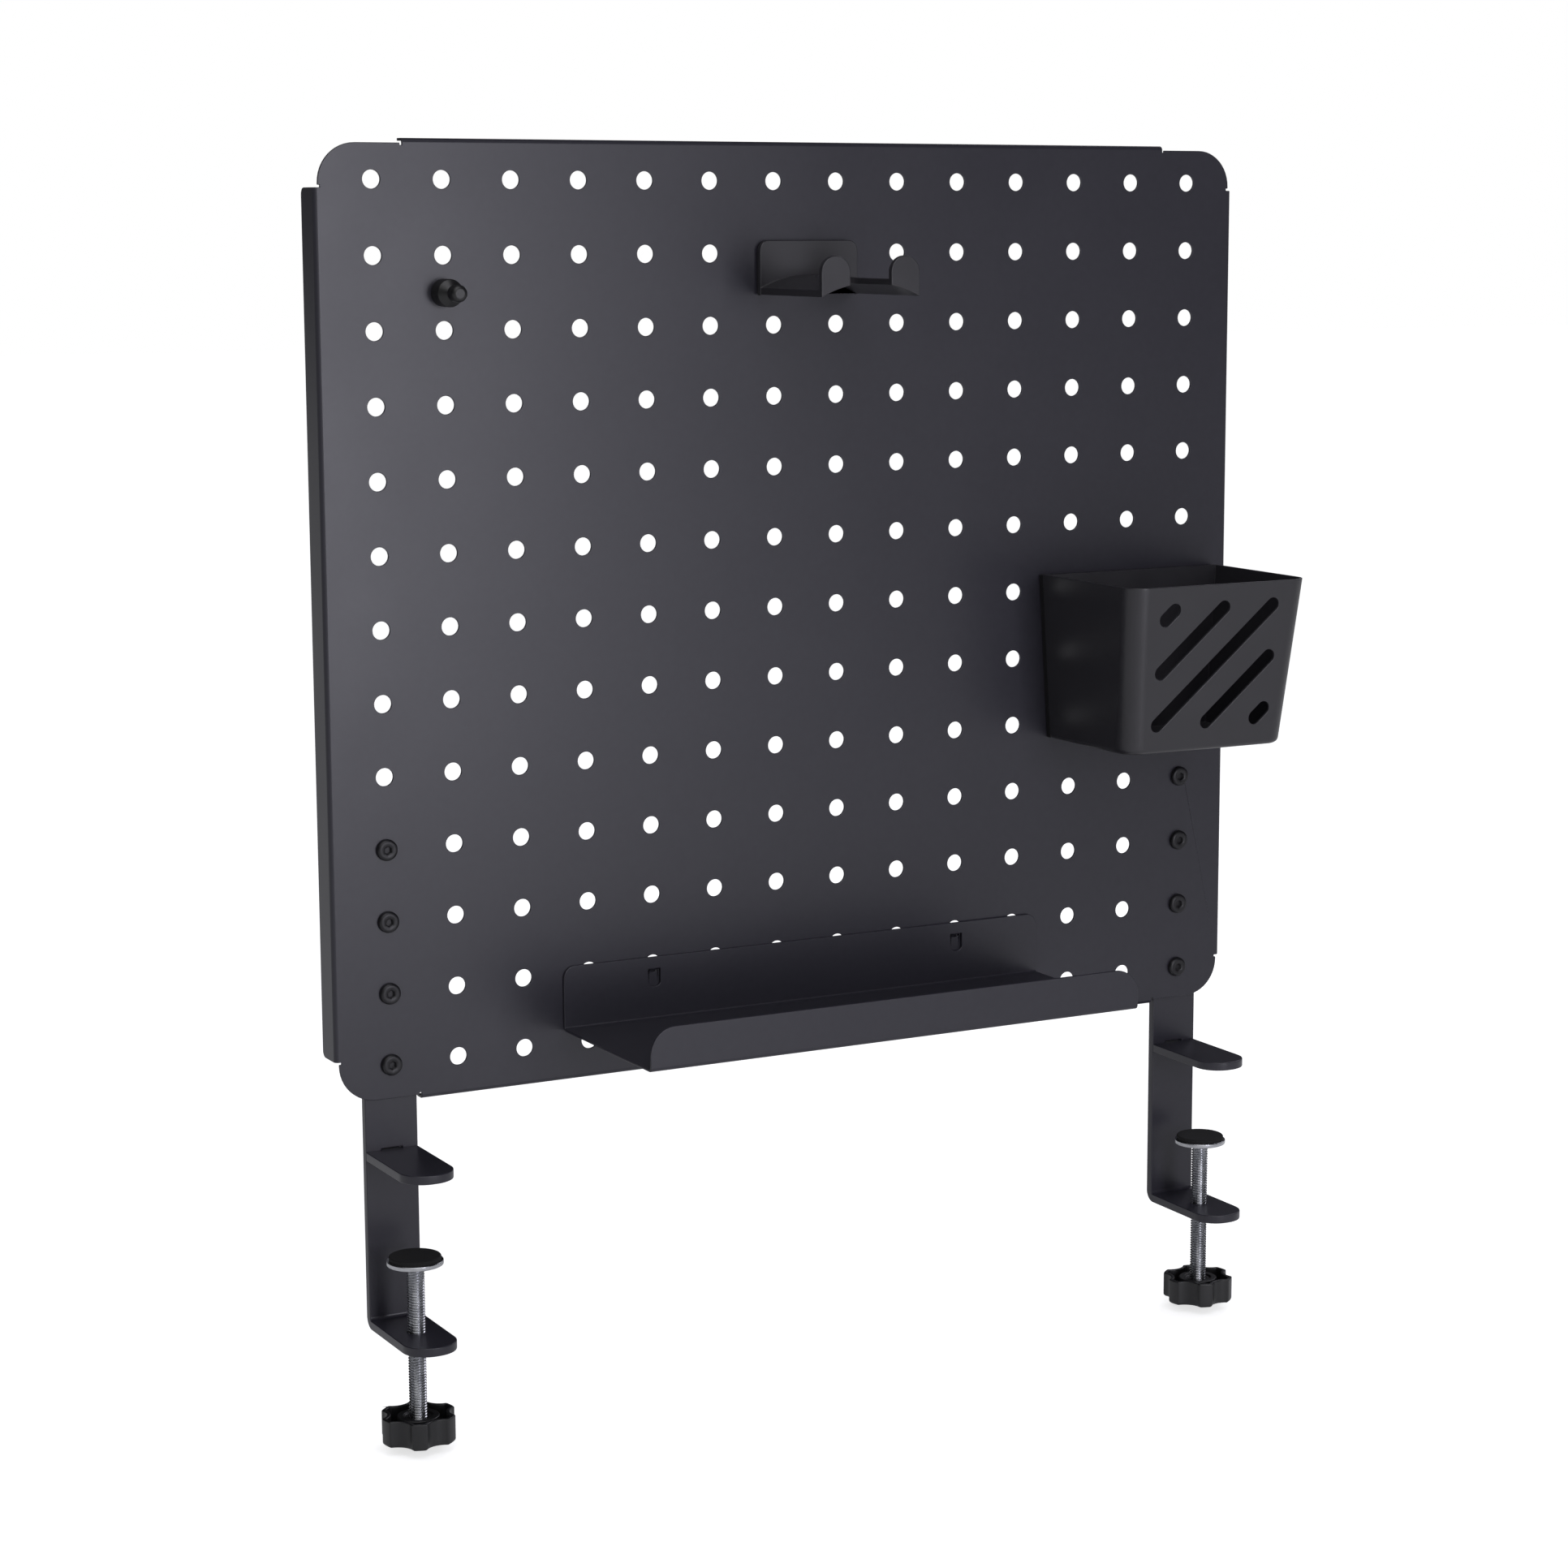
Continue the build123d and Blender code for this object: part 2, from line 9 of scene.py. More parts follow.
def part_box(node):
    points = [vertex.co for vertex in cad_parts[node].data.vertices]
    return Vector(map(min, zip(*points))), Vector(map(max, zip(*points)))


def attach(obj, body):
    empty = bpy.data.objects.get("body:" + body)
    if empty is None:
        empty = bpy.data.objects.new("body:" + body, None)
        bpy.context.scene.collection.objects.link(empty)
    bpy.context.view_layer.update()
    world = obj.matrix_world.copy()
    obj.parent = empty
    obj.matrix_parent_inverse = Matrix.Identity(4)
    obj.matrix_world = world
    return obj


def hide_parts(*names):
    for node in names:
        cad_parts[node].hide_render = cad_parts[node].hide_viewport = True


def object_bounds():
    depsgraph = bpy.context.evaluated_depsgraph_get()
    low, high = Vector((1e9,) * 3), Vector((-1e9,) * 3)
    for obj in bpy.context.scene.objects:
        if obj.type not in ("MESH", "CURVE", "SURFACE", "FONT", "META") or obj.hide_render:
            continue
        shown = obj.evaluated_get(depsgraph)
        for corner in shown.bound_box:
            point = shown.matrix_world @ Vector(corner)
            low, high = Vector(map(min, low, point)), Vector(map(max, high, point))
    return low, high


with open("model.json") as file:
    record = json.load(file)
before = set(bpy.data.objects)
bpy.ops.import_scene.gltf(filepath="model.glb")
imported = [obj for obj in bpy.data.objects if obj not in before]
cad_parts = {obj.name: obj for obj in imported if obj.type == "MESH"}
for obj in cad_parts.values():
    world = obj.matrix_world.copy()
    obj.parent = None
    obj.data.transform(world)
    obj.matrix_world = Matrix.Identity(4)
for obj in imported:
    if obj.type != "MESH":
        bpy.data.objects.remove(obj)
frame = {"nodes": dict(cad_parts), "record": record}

cad_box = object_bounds()


# The camera stands where the photograph was taken from: left of the panel, a little above
# its middle, looking down at it. The lens and the sideways shift give the photo's frame.
CAMERA_PLACE = (-0.76006, -1.41480, 0.41188)
CAMERA_DOWN = 9.2272
CAMERA_TURN = -29.3766
SENSOR = 36.0
LENS = 80.48
LENS_SHIFT = (-0.0573, -0.0003)
camera_data = bpy.data.cameras.new("camera")
camera_data.sensor_width = SENSOR
camera_data.lens = LENS
camera_data.shift_x, camera_data.shift_y = LENS_SHIFT
camera_data.clip_end = 50.0
camera = bpy.data.objects.new("camera", camera_data)
camera.location = CAMERA_PLACE
camera.rotation_euler = (radians(90.0 - CAMERA_DOWN), 0.0, radians(CAMERA_TURN))
bpy.context.scene.collection.objects.link(camera)
bpy.context.scene.camera = camera


# The studio: a white backdrop and floor with three softboxes. Mirrored rays see white only in
# front and above the camera's side, and it fades to black all round, which gives the board
# its slope from grey on the left to near black on the right.
def linear(hex_colour):
    """An sRGB hex colour as linear RGBA."""
    channels = [int(hex_colour[i:i + 2], 16) / 255.0 for i in (1, 3, 5)]
    return [c / 12.92 if c <= 0.04045 else ((c + 0.055) / 1.055) ** 2.4 for c in channels] + [1.0]


def add_node(tree, kind, settings=None, **inputs):
    """Adds a node with its own settings. An input is set to a value, or linked to a socket, to
    a node's first output, or to each of a list of these."""
    node = tree.nodes.new(kind)
    for name, value in (settings or {}).items():
        setattr(node, name, value)
    for name, value in inputs.items():
        key = int(name[1:]) if name[0] == "i" and name[1:].isdigit() else name.replace("_", " ")
        sources = value if isinstance(value, list) else [value]
        if isinstance(sources[0], (bpy.types.Node, bpy.types.NodeSocket)):
            for source in sources:
                is_node = isinstance(source, bpy.types.Node)
                tree.links.new(source.outputs[0] if is_node else source, node.inputs[key])
        else:
            node.inputs[key].default_value = value
    return node


def add_lamp(name, place, aim, width, height, power, colour):
    """A rectangular area lamp aimed at a point."""
    data = bpy.data.lights.new(name, "AREA")
    data.shape = "RECTANGLE"
    data.size = width
    data.size_y = height
    data.energy = power
    data.color = linear(colour)[:3]
    lamp = bpy.data.objects.new(name, data)
    lamp.location = place
    lamp.rotation_euler = (Vector(aim) - Vector(place)).to_track_quat("-Z", "Y").to_euler()
    bpy.context.scene.collection.objects.link(lamp)


scene = bpy.context.scene
scene.view_settings.view_transform = "Standard"
world = bpy.data.worlds.new("studio")
scene.world = world
world.use_nodes = True
world.node_tree.nodes.clear()
WHITE = "#ffffff"
ROOM = "#f4f5f7"
ROOM_LIGHT = 0.45
world_path = add_node(world.node_tree, "ShaderNodeLightPath").outputs
seen = add_node(world.node_tree, "ShaderNodeMath", {"operation": "MAXIMUM"},
                i0=world_path["Is Camera Ray"], i1=world_path["Is Transmission Ray"])
mirrored = add_node(world.node_tree, "ShaderNodeMath", {"operation": "MAXIMUM"},
                    i0=seen, i1=world_path["Is Glossy Ray"])

# Each white part of the room: its middle's direction, and the cosines at which it starts
# to show and is full white.
WHITE_FRONT = ((-0.17, -0.98, -0.06), 0.8, 1.0)
WHITE_ABOVE = ((-0.3, -0.5, 0.81), 0.78, 0.92)
toward = add_node(world.node_tree, "ShaderNodeTexCoord")
showing = seen
for middle, edge, full in (WHITE_FRONT, WHITE_ABOVE):
    heading = add_node(world.node_tree, "ShaderNodeVectorMath", {"operation": "DOT_PRODUCT"},
                       i0=toward.outputs["Generated"], i1=middle)
    fading = add_node(world.node_tree, "ShaderNodeMapRange", {"interpolation_type": "SMOOTHSTEP"},
                      Value=heading.outputs["Value"], From_Min=edge, From_Max=full)
    showing = add_node(world.node_tree, "ShaderNodeMath", {"operation": "MAXIMUM"},
                       i0=fading, i1=showing)
room = add_node(world.node_tree, "ShaderNodeBackground", Color=linear(ROOM), Strength=ROOM_LIGHT)
backdrop = add_node(world.node_tree, "ShaderNodeBackground", Color=linear(WHITE),
                    Strength=showing)
both = add_node(world.node_tree, "ShaderNodeMixShader", i0=mirrored, i1=room, i2=backdrop)
add_node(world.node_tree, "ShaderNodeOutputWorld", Surface=both)

DAYLIGHT = "#f5f4ff"
BOARD_MIDDLE = (0.0, 0.0, 0.2)
add_lamp("front_softbox", (0.3, -1.8, 0.3), BOARD_MIDDLE, 0.4, 1.0, 9.0, DAYLIGHT)
add_lamp("top_softbox", (-0.3, -0.9, 1.6), (0.0, -0.02, 0.2), 1.0, 1.0, 4.0, DAYLIGHT)
add_lamp("rear_softbox", (1.5, 0.9, 1.3), BOARD_MIDDLE, 0.8, 0.8, 6.0, DAYLIGHT)

FLOOR_DROP = 0.004
FLOOR_HALF = 12.0
FLOOR_PAINT = "#f2f2f2"
FLOOR_GLOW = 0.66
FLOOR_MIRRORED = 0.1
floor_z = cad_box[0][2] - FLOOR_DROP
floor_mesh = bpy.data.meshes.new("floor")
floor_mesh.from_pydata(
    [(-FLOOR_HALF, -FLOOR_HALF, floor_z), (FLOOR_HALF, -FLOOR_HALF, floor_z),
     (FLOOR_HALF, FLOOR_HALF, floor_z), (-FLOOR_HALF, FLOOR_HALF, floor_z)],
    [], [(0, 1, 2, 3)])
floor = bpy.data.objects.new("floor", floor_mesh)
scene.collection.objects.link(floor)
floor_paint = bpy.data.materials.new("white_studio_floor")
floor_paint.use_nodes = True
floor_tree = floor_paint.node_tree
floor_tree.nodes.clear()
floor_path = add_node(floor_tree, "ShaderNodeLightPath").outputs
floor_mirrored = add_node(floor_tree, "ShaderNodeMath", {"operation": "MULTIPLY"},
                          i0=floor_path["Is Glossy Ray"], i1=FLOOR_MIRRORED)
floor_seen = add_node(floor_tree, "ShaderNodeMath", {"operation": "MAXIMUM"},
                      i0=floor_path["Is Camera Ray"], i1=floor_mirrored)
matte = add_node(floor_tree, "ShaderNodeBsdfDiffuse", Color=linear(FLOOR_PAINT))
glow = add_node(floor_tree, "ShaderNodeEmission", Color=linear(WHITE), Strength=FLOOR_GLOW)
lit = add_node(floor_tree, "ShaderNodeAddShader", i0=matte, i1=glow)
shown = add_node(floor_tree, "ShaderNodeMixShader", i0=floor_seen, i1=matte, i2=lit)
add_node(floor_tree, "ShaderNodeOutputMaterial", Surface=shown)
floor_mesh.materials.append(floor_paint)


# The pegboard: one sheet of 1.2 mm mild steel, punched with 8 mm holes 32 mm apart. Its four
# edges are folded back round a 2 mm bend, with a notch at each fold's end. Charcoal powder
# coat covers it all: the melted powder leaves a fine, matt orange peel with no clear reflection.
MM = 0.001
PITCH = 32 * MM
COLUMNS = 14
ROWS = 13
PEG_HOLE = 8 * MM
SCREW_HOLE = 5.5 * MM
SCREWS_PER_SIDE = 4
SHEET = 1.2 * MM
BEND = 2 * MM
CORNER = 17 * MM
NOTCH = 1 * MM
END_MARGIN = 17.3 * MM
SIDE_FOLD_SETBACK = 3.5 * MM
END_FOLD_SETBACK = 14.2 * MM
END_FOLD_DEPTH = 6 * MM
SIDE_FOLD_CORNER = 3 * MM
PUNCHED_EDGE = 0.25 * MM
PEEL = 0.6 * MM
PEEL_DEPTH = 0.02 * MM
DUST = 3 * MM
WIPE_MARK = 60 * MM
CHARCOAL = "#292830"
CHARCOAL_DUST = "#2f2e36"
BOARD_ROUGHNESS = 0.33
ROUGHNESS_SPREAD = 0.04
ROUNDED_ABOVE = radians(35)
HOLE_SIDES = 32
CORNER_STEPS = 12
FOLD_STEPS = 8
FOLD_CORNER_STEPS = 6


def powder_coat(name, colour, dust_colour, roughness):
    """Powder coat on steel, mottled by a little dust and roughened by its orange peel."""
    paint = bpy.data.materials.new(name)
    paint.use_nodes = True
    tree = paint.node_tree
    tree.nodes.clear()
    place = add_node(tree, "ShaderNodeTexCoord").outputs["Object"]
    dust = add_node(tree, "ShaderNodeTexNoise", Vector=place, Scale=1 / DUST, Detail=4.0)
    wiped = add_node(tree, "ShaderNodeTexNoise", Vector=place, Scale=1 / WIPE_MARK, Detail=2.0)
    tint = add_node(tree, "ShaderNodeMix", {"data_type": "RGBA"}, i0=dust.outputs["Fac"],
                    i6=linear(colour), i7=linear(dust_colour))
    rough = add_node(tree, "ShaderNodeMapRange", Value=wiped.outputs["Fac"],
                     To_Min=roughness - ROUGHNESS_SPREAD, To_Max=roughness + ROUGHNESS_SPREAD)
    peel = add_node(tree, "ShaderNodeTexNoise", Vector=place, Scale=1 / PEEL, Detail=1.0)
    bump = add_node(tree, "ShaderNodeBump", Strength=0.15, Distance=PEEL_DEPTH,
                    Height=peel.outputs["Fac"])
    skin = add_node(tree, "ShaderNodeBsdfPrincipled", Base_Color=tint.outputs[2],
                    Roughness=rough.outputs[0], Normal=bump.outputs[0], IOR=1.5)
    add_node(tree, "ShaderNodeOutputMaterial", Surface=skin.outputs[0])
    return paint


def arc(radius, start, end, steps):
    """Points (x, y) round an arc about the origin, from one angle to another in degrees."""
    angles = [radians(start + (end - start) * step / steps) for step in range(steps + 1)]
    return [(radius * cos(angle), radius * sin(angle)) for angle in angles]


def new_object(name, mesh):
    """An object at the origin that shows a mesh."""
    piece = bpy.data.objects.new(name, mesh)
    bpy.context.scene.collection.objects.link(piece)
    return piece


def new_tree(name, inputs):
    """A Geometry Nodes tree with a geometry input and output and named inputs."""
    tree = bpy.data.node_groups.new(name, "GeometryNodeTree")
    tree.interface.new_socket("Geometry", in_out="OUTPUT", socket_type="NodeSocketGeometry")
    tree.interface.new_socket("Geometry", in_out="INPUT", socket_type="NodeSocketGeometry")
    for label, kind in inputs.items():
        tree.interface.new_socket(label, in_out="INPUT", socket_type="NodeSocket" + kind)
    return tree, add_node(tree, "NodeGroupInput").outputs


def made_plain(piece):
    """The object's modifiers worked out into a plain mesh, and then removed."""
    bpy.context.view_layer.update()
    graph = bpy.context.evaluated_depsgraph_get()
    mesh = bpy.data.meshes.new_from_object(piece.evaluated_get(graph))
    mesh.name = piece.name
    piece.modifiers.clear()
    piece.data = mesh
    return piece


def made_by(tree, piece, values):
    """The object's mesh put through a Geometry Nodes tree with these inputs."""
    modifier = piece.modifiers.new(tree.name, "NODES")
    modifier.node_group = tree
    for socket in tree.interface.items_tree:
        if socket.in_out == "INPUT" and socket.name in values:
            modifier[socket.identifier] = values[socket.name]
    return made_plain(piece)


def add_rounding(piece, width, segments=2):
    """Rounds every edge sharper than a bend's facets and keeps the flats flat."""
    rounding = piece.modifiers.new("rounded_edges", "BEVEL")
    rounding.width = width
    rounding.segments = segments
    rounding.limit_method = "ANGLE"
    rounding.angle_limit = ROUNDED_ABOVE
    rounding.use_clamp_overlap = False
    flats = piece.modifiers.new("flat_flats", "WEIGHTED_NORMAL")
    flats.mode = "FACE_AREA"
    flats.weight = 100
    for face in piece.data.polygons:
        face.use_smooth = True


record = frame["record"]
node_body = {node: body for body, nodes in record["behaviour"]["bodies"].items() for node in nodes}


def stands_for(piece, node):
    """The piece rides on the CAD node's body and replaces it."""
    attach(piece, node_body[node])
    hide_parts(node)


panel_low, panel_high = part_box("pegboard_panel")
panel_middle = (panel_low.z + panel_high.z) / 2
clamp_x = (COLUMNS - 1) / 2 * PITCH
flat_half_width = panel_high.x - BEND
flat_half_height = panel_high.z - BEND - panel_middle
side_fold_half = panel_high.z - END_MARGIN - SIDE_FOLD_SETBACK - panel_middle
end_fold_half = clamp_x - END_FOLD_SETBACK

# The sheet is drawn lying flat, its front up: x as on the board, y for the board's height.
quarter = [
    (flat_half_width, side_fold_half),
    (flat_half_width - NOTCH, side_fold_half),
    (flat_half_width - NOTCH, side_fold_half + NOTCH),
    (flat_half_width, side_fold_half + NOTCH),
]
quarter += [(flat_half_width - CORNER + x, flat_half_height - CORNER + y)
            for x, y in arc(CORNER, 0, 90, CORNER_STEPS)]
quarter += [
    (end_fold_half + NOTCH, flat_half_height),
    (end_fold_half + NOTCH, flat_half_height - NOTCH),
    (end_fold_half, flat_half_height - NOTCH),
    (end_fold_half, flat_half_height),
]
outline = quarter + [(-x, y) for x, y in reversed(quarter)]
outline += [(-x, -y) for x, y in outline]
blank_mesh = bpy.data.meshes.new("blank")
blank_mesh.from_pydata([(x, y, 0) for x, y in outline],
                       [(i, (i + 1) % len(outline)) for i in range(len(outline))], [])
panel = new_object("pegboard_panel_sheet", blank_mesh)

punch, given = new_tree("punched_sheet", {
    "Pitch": "Float", "Columns": "Int", "Rows": "Int", "Peg Hole": "Float",
    "Screw Hole": "Float", "Screws Per Side": "Int", "Material": "Material"})
gaps_across = add_node(punch, "ShaderNodeMath", {"operation": "SUBTRACT"},
                       i0=given["Columns"], i1=1.0)
grid_width = add_node(punch, "ShaderNodeMath", {"operation": "MULTIPLY"},
                      i0=given["Pitch"], i1=gaps_across)
gaps_up = add_node(punch, "ShaderNodeMath", {"operation": "SUBTRACT"}, i0=given["Rows"], i1=1.0)
grid_height = add_node(punch, "ShaderNodeMath", {"operation": "MULTIPLY"},
                       i0=given["Pitch"], i1=gaps_up)
places = add_node(punch, "GeometryNodeMeshGrid", Size_X=grid_width, Size_Y=grid_height,
                  Vertices_X=given["Columns"], Vertices_Y=given["Rows"])
place = add_node(punch, "ShaderNodeSeparateXYZ",
                 i0=add_node(punch, "GeometryNodeInputPosition")).outputs

# A hole is for a screw where it is in an outer column and in one of the lowest rows.
half_width = add_node(punch, "ShaderNodeMath", {"operation": "MULTIPLY"}, i0=grid_width, i1=0.5)
from_middle = add_node(punch, "ShaderNodeMath", {"operation": "ABSOLUTE"}, i0=place["X"])
from_side = add_node(punch, "ShaderNodeMath", {"operation": "SUBTRACT"},
                     i0=half_width, i1=from_middle)
half_pitch = add_node(punch, "ShaderNodeMath", {"operation": "MULTIPLY"},
                      i0=given["Pitch"], i1=0.5)
on_side = add_node(punch, "ShaderNodeMath", {"operation": "LESS_THAN"},
                   i0=from_side, i1=half_pitch)
half_height = add_node(punch, "ShaderNodeMath", {"operation": "MULTIPLY"},
                       i0=grid_height, i1=0.5)
above_lowest = add_node(punch, "ShaderNodeMath", {"operation": "ADD"},
                        i0=place["Y"], i1=half_height)
rows_up = add_node(punch, "ShaderNodeMath", {"operation": "DIVIDE"},
                   i0=above_lowest, i1=given["Pitch"])
screws_end = add_node(punch, "ShaderNodeMath", {"operation": "SUBTRACT"},
                      i0=given["Screws Per Side"], i1=0.5)
low_enough = add_node(punch, "ShaderNodeMath", {"operation": "LESS_THAN"},
                      i0=rows_up, i1=screws_end)
is_screw = add_node(punch, "ShaderNodeMath", {"operation": "MULTIPLY"},
                    i0=on_side, i1=low_enough)
hole_size = add_node(punch, "ShaderNodeMix", i0=is_screw, i2=given["Peg Hole"],
                     i3=given["Screw Hole"])
circle = add_node(punch, "GeometryNodeCurvePrimitiveCircle", {"mode": "RADIUS"},
                  Resolution=HOLE_SIDES, Radius=0.5)
holes = add_node(punch, "GeometryNodeInstanceOnPoints", Points=places.outputs["Mesh"],
                 Instance=circle.outputs["Curve"], Scale=hole_size.outputs[0])
rims = add_node(punch, "GeometryNodeRealizeInstances", Geometry=holes.outputs[0])
edge = add_node(punch, "GeometryNodeMeshToCurve", Mesh=given["Geometry"])
lines = add_node(punch, "GeometryNodeJoinGeometry", Geometry=[edge.outputs[0], rims.outputs[0]])
flat = add_node(punch, "GeometryNodeFillCurve", {"mode": "NGONS"}, Curve=lines.outputs[0])
punched = add_node(punch, "GeometryNodeRealizeInstances", Geometry=flat.outputs[0])
painted = add_node(punch, "GeometryNodeSetMaterial", Geometry=punched.outputs[0],
                   Material=given["Material"])
add_node(punch, "NodeGroupOutput", Geometry=painted.outputs[0])

panel_paint = powder_coat("charcoal_powder_coat", CHARCOAL, CHARCOAL_DUST, BOARD_ROUGHNESS)
made_by(punch, panel, {
    "Pitch": PITCH, "Columns": COLUMNS, "Rows": ROWS, "Peg Hole": PEG_HOLE,
    "Screw Hole": SCREW_HOLE, "Screws Per Side": SCREWS_PER_SIDE, "Material": panel_paint})

fold_section = [(x, y - BEND) for x, y in arc(BEND, 90, 0, FOLD_STEPS)]
sheet = bmesh.new()
sheet.from_mesh(panel.data)
for turn, start, half, depth, corner in (
        (0, flat_half_width, side_fold_half, panel_high.y - panel_low.y, SIDE_FOLD_CORNER),
        (90, flat_half_height, end_fold_half, END_FOLD_DEPTH, 0),
        (180, flat_half_width, side_fold_half, panel_high.y - panel_low.y, SIDE_FOLD_CORNER),
        (270, flat_half_height, end_fold_half, END_FOLD_DEPTH, 0)):
    turned_by = Matrix.Rotation(radians(turn), 3, "Z")
    rails = [[sheet.verts.new(turned_by @ Vector((start + out, along, down)))
              for along in (-half, half)] for out, down in fold_section]
    for last, this in zip(rails, rails[1:]):
        sheet.faces.new((last[0], this[0], this[1], last[1]))
    tip = [(half, -depth)]
    if corner:
        tip = [(half - corner + x, corner - depth - y) 
               for x, y in arc(corner, 0, 90, FOLD_CORNER_STEPS)]
    tip += [(-along, down) for along, down in reversed(tip)]
    free = [sheet.verts.new(turned_by @ Vector((start + BEND, along, down)))
            for along, down in tip]
    sheet.faces.new((rails[-1][0], *reversed(free), rails[-1][1]))
bmesh.ops.remove_doubles(sheet, verts=sheet.verts, dist=0.01 * MM)
bmesh.ops.recalc_face_normals(sheet, faces=sheet.faces)
if max(sheet.faces, key=lambda face: face.calc_area()).normal.z < 0:
    bmesh.ops.reverse_faces(sheet, faces=sheet.faces)
upright = Matrix.Translation((0, panel_low.y, panel_middle)) @ Matrix.Rotation(radians(90), 4, "X")
bmesh.ops.transform(sheet, matrix=upright, verts=sheet.verts)
sheet.to_mesh(panel.data)
sheet.free()
thickness = panel.modifiers.new("sheet_thickness", "SOLIDIFY")
thickness.thickness = SHEET
thickness.offset = -1
thickness.use_even_offset = True
add_rounding(panel, PUNCHED_EDGE)
made_plain(panel)
stands_for(panel, "pegboard_panel")


# The clamps' fixed steel: a 24.5 x 4 mm flat bar bent into upright and lower jaw, and an upper
# jaw plate whose tenon goes through the upright. Sheared and tumbled before the powder coat,
# so every edge is slightly rounded. The coat is a little smoother than on the board.
BAR_EDGE = 0.4 * MM
FLAT = radians(0.5)


def softened(node, width, segments=2):
    """A copy of a CAD node with its triangles merged into whole faces and its edges rounded."""
    piece = new_object(node + "_piece", frame["nodes"][node].data.copy())
    shape = bmesh.new()
    shape.from_mesh(piece.data)
    bmesh.ops.remove_doubles(shape, verts=shape.verts, dist=0.001 * MM)
    bmesh.ops.dissolve_limit(shape, angle_limit=FLAT, verts=shape.verts, edges=shape.edges)
    shape.to_mesh(piece.data)
    shape.free()
    piece.data.materials.clear()
    add_rounding(piece, width, segments)
    return made_plain(piece)


clamp_paint = powder_coat("clamp_powder_coat", CHARCOAL, CHARCOAL_DUST, 0.32)
for side in ("left", "right"):
    for node in ("clamp_bracket_" + side, "upper_jaw_" + side):
        piece = softened(node, BAR_EDGE)
        piece.data.materials.append(clamp_paint)
        stands_for(piece, node)


# Four M5 button-head screws hold the board to each upright. Steel, cold forged with a 3 mm
# hexagon socket and a rolled 0.8 mm thread, then black zinc plated: dark, with a dull sheen.
SCREW_HEAD = 9.5 * MM
SCREW_HEAD_HEIGHT = 2.4 * MM
SCREW_HEAD_ROUND = 1.3 * MM
SOCKET = 3 * MM
SOCKET_DEPTH = 1.6 * MM
SOCKET_CHAMFER = 0.25 * MM
SCREW_DIAMETER = 5 * MM
SCREW_LENGTH = 8 * MM
SCREW_PITCH = 0.8 * MM
THREAD_DEPTH_SHARE = 0.56
CREST_SHARE = 0.15
ROOT_SHARE = 0.85
HEAD_SIDES = 36
HEAD_ROUND_STEPS = 6
SHANK_SIDES = 24
SHANK_STEPS = 6
BLACK_ZINC_WEAR = 1.5 * MM
BLACK_ZINC = "#1b1b1d"
BLACK_ZINC_WORN = "#29282b"


def turned(name, rings, sides):
    """A closed round mesh about Z through rings (radius, height, across_flats)."""
    points = []
    faces = []
    for radius, height, flats in rings:
        for side in range(sides):
            angle = 2 * pi * side / sides
            from_flat = (angle + pi / 6) % (pi / 3) - pi / 6
            reach = flats / 2 / cos(from_flat) if flats else radius
            points.append((reach * cos(angle), reach * sin(angle), height))
    for ring in range(len(rings) - 1):
        for side in range(sides):
            a = ring * sides + side
            b = ring * sides + (side + 1) % sides
            faces.append((a, b, b + sides, a + sides))
    faces.append(tuple(reversed(range(sides))))
    faces.append(tuple(range((len(rings) - 1) * sides, len(rings) * sides)))
    mesh = bpy.data.meshes.new(name)
    mesh.from_pydata(points, [], faces)
    for face in mesh.polygons:
        face.use_smooth = len(face.vertices) == 4
    return mesh


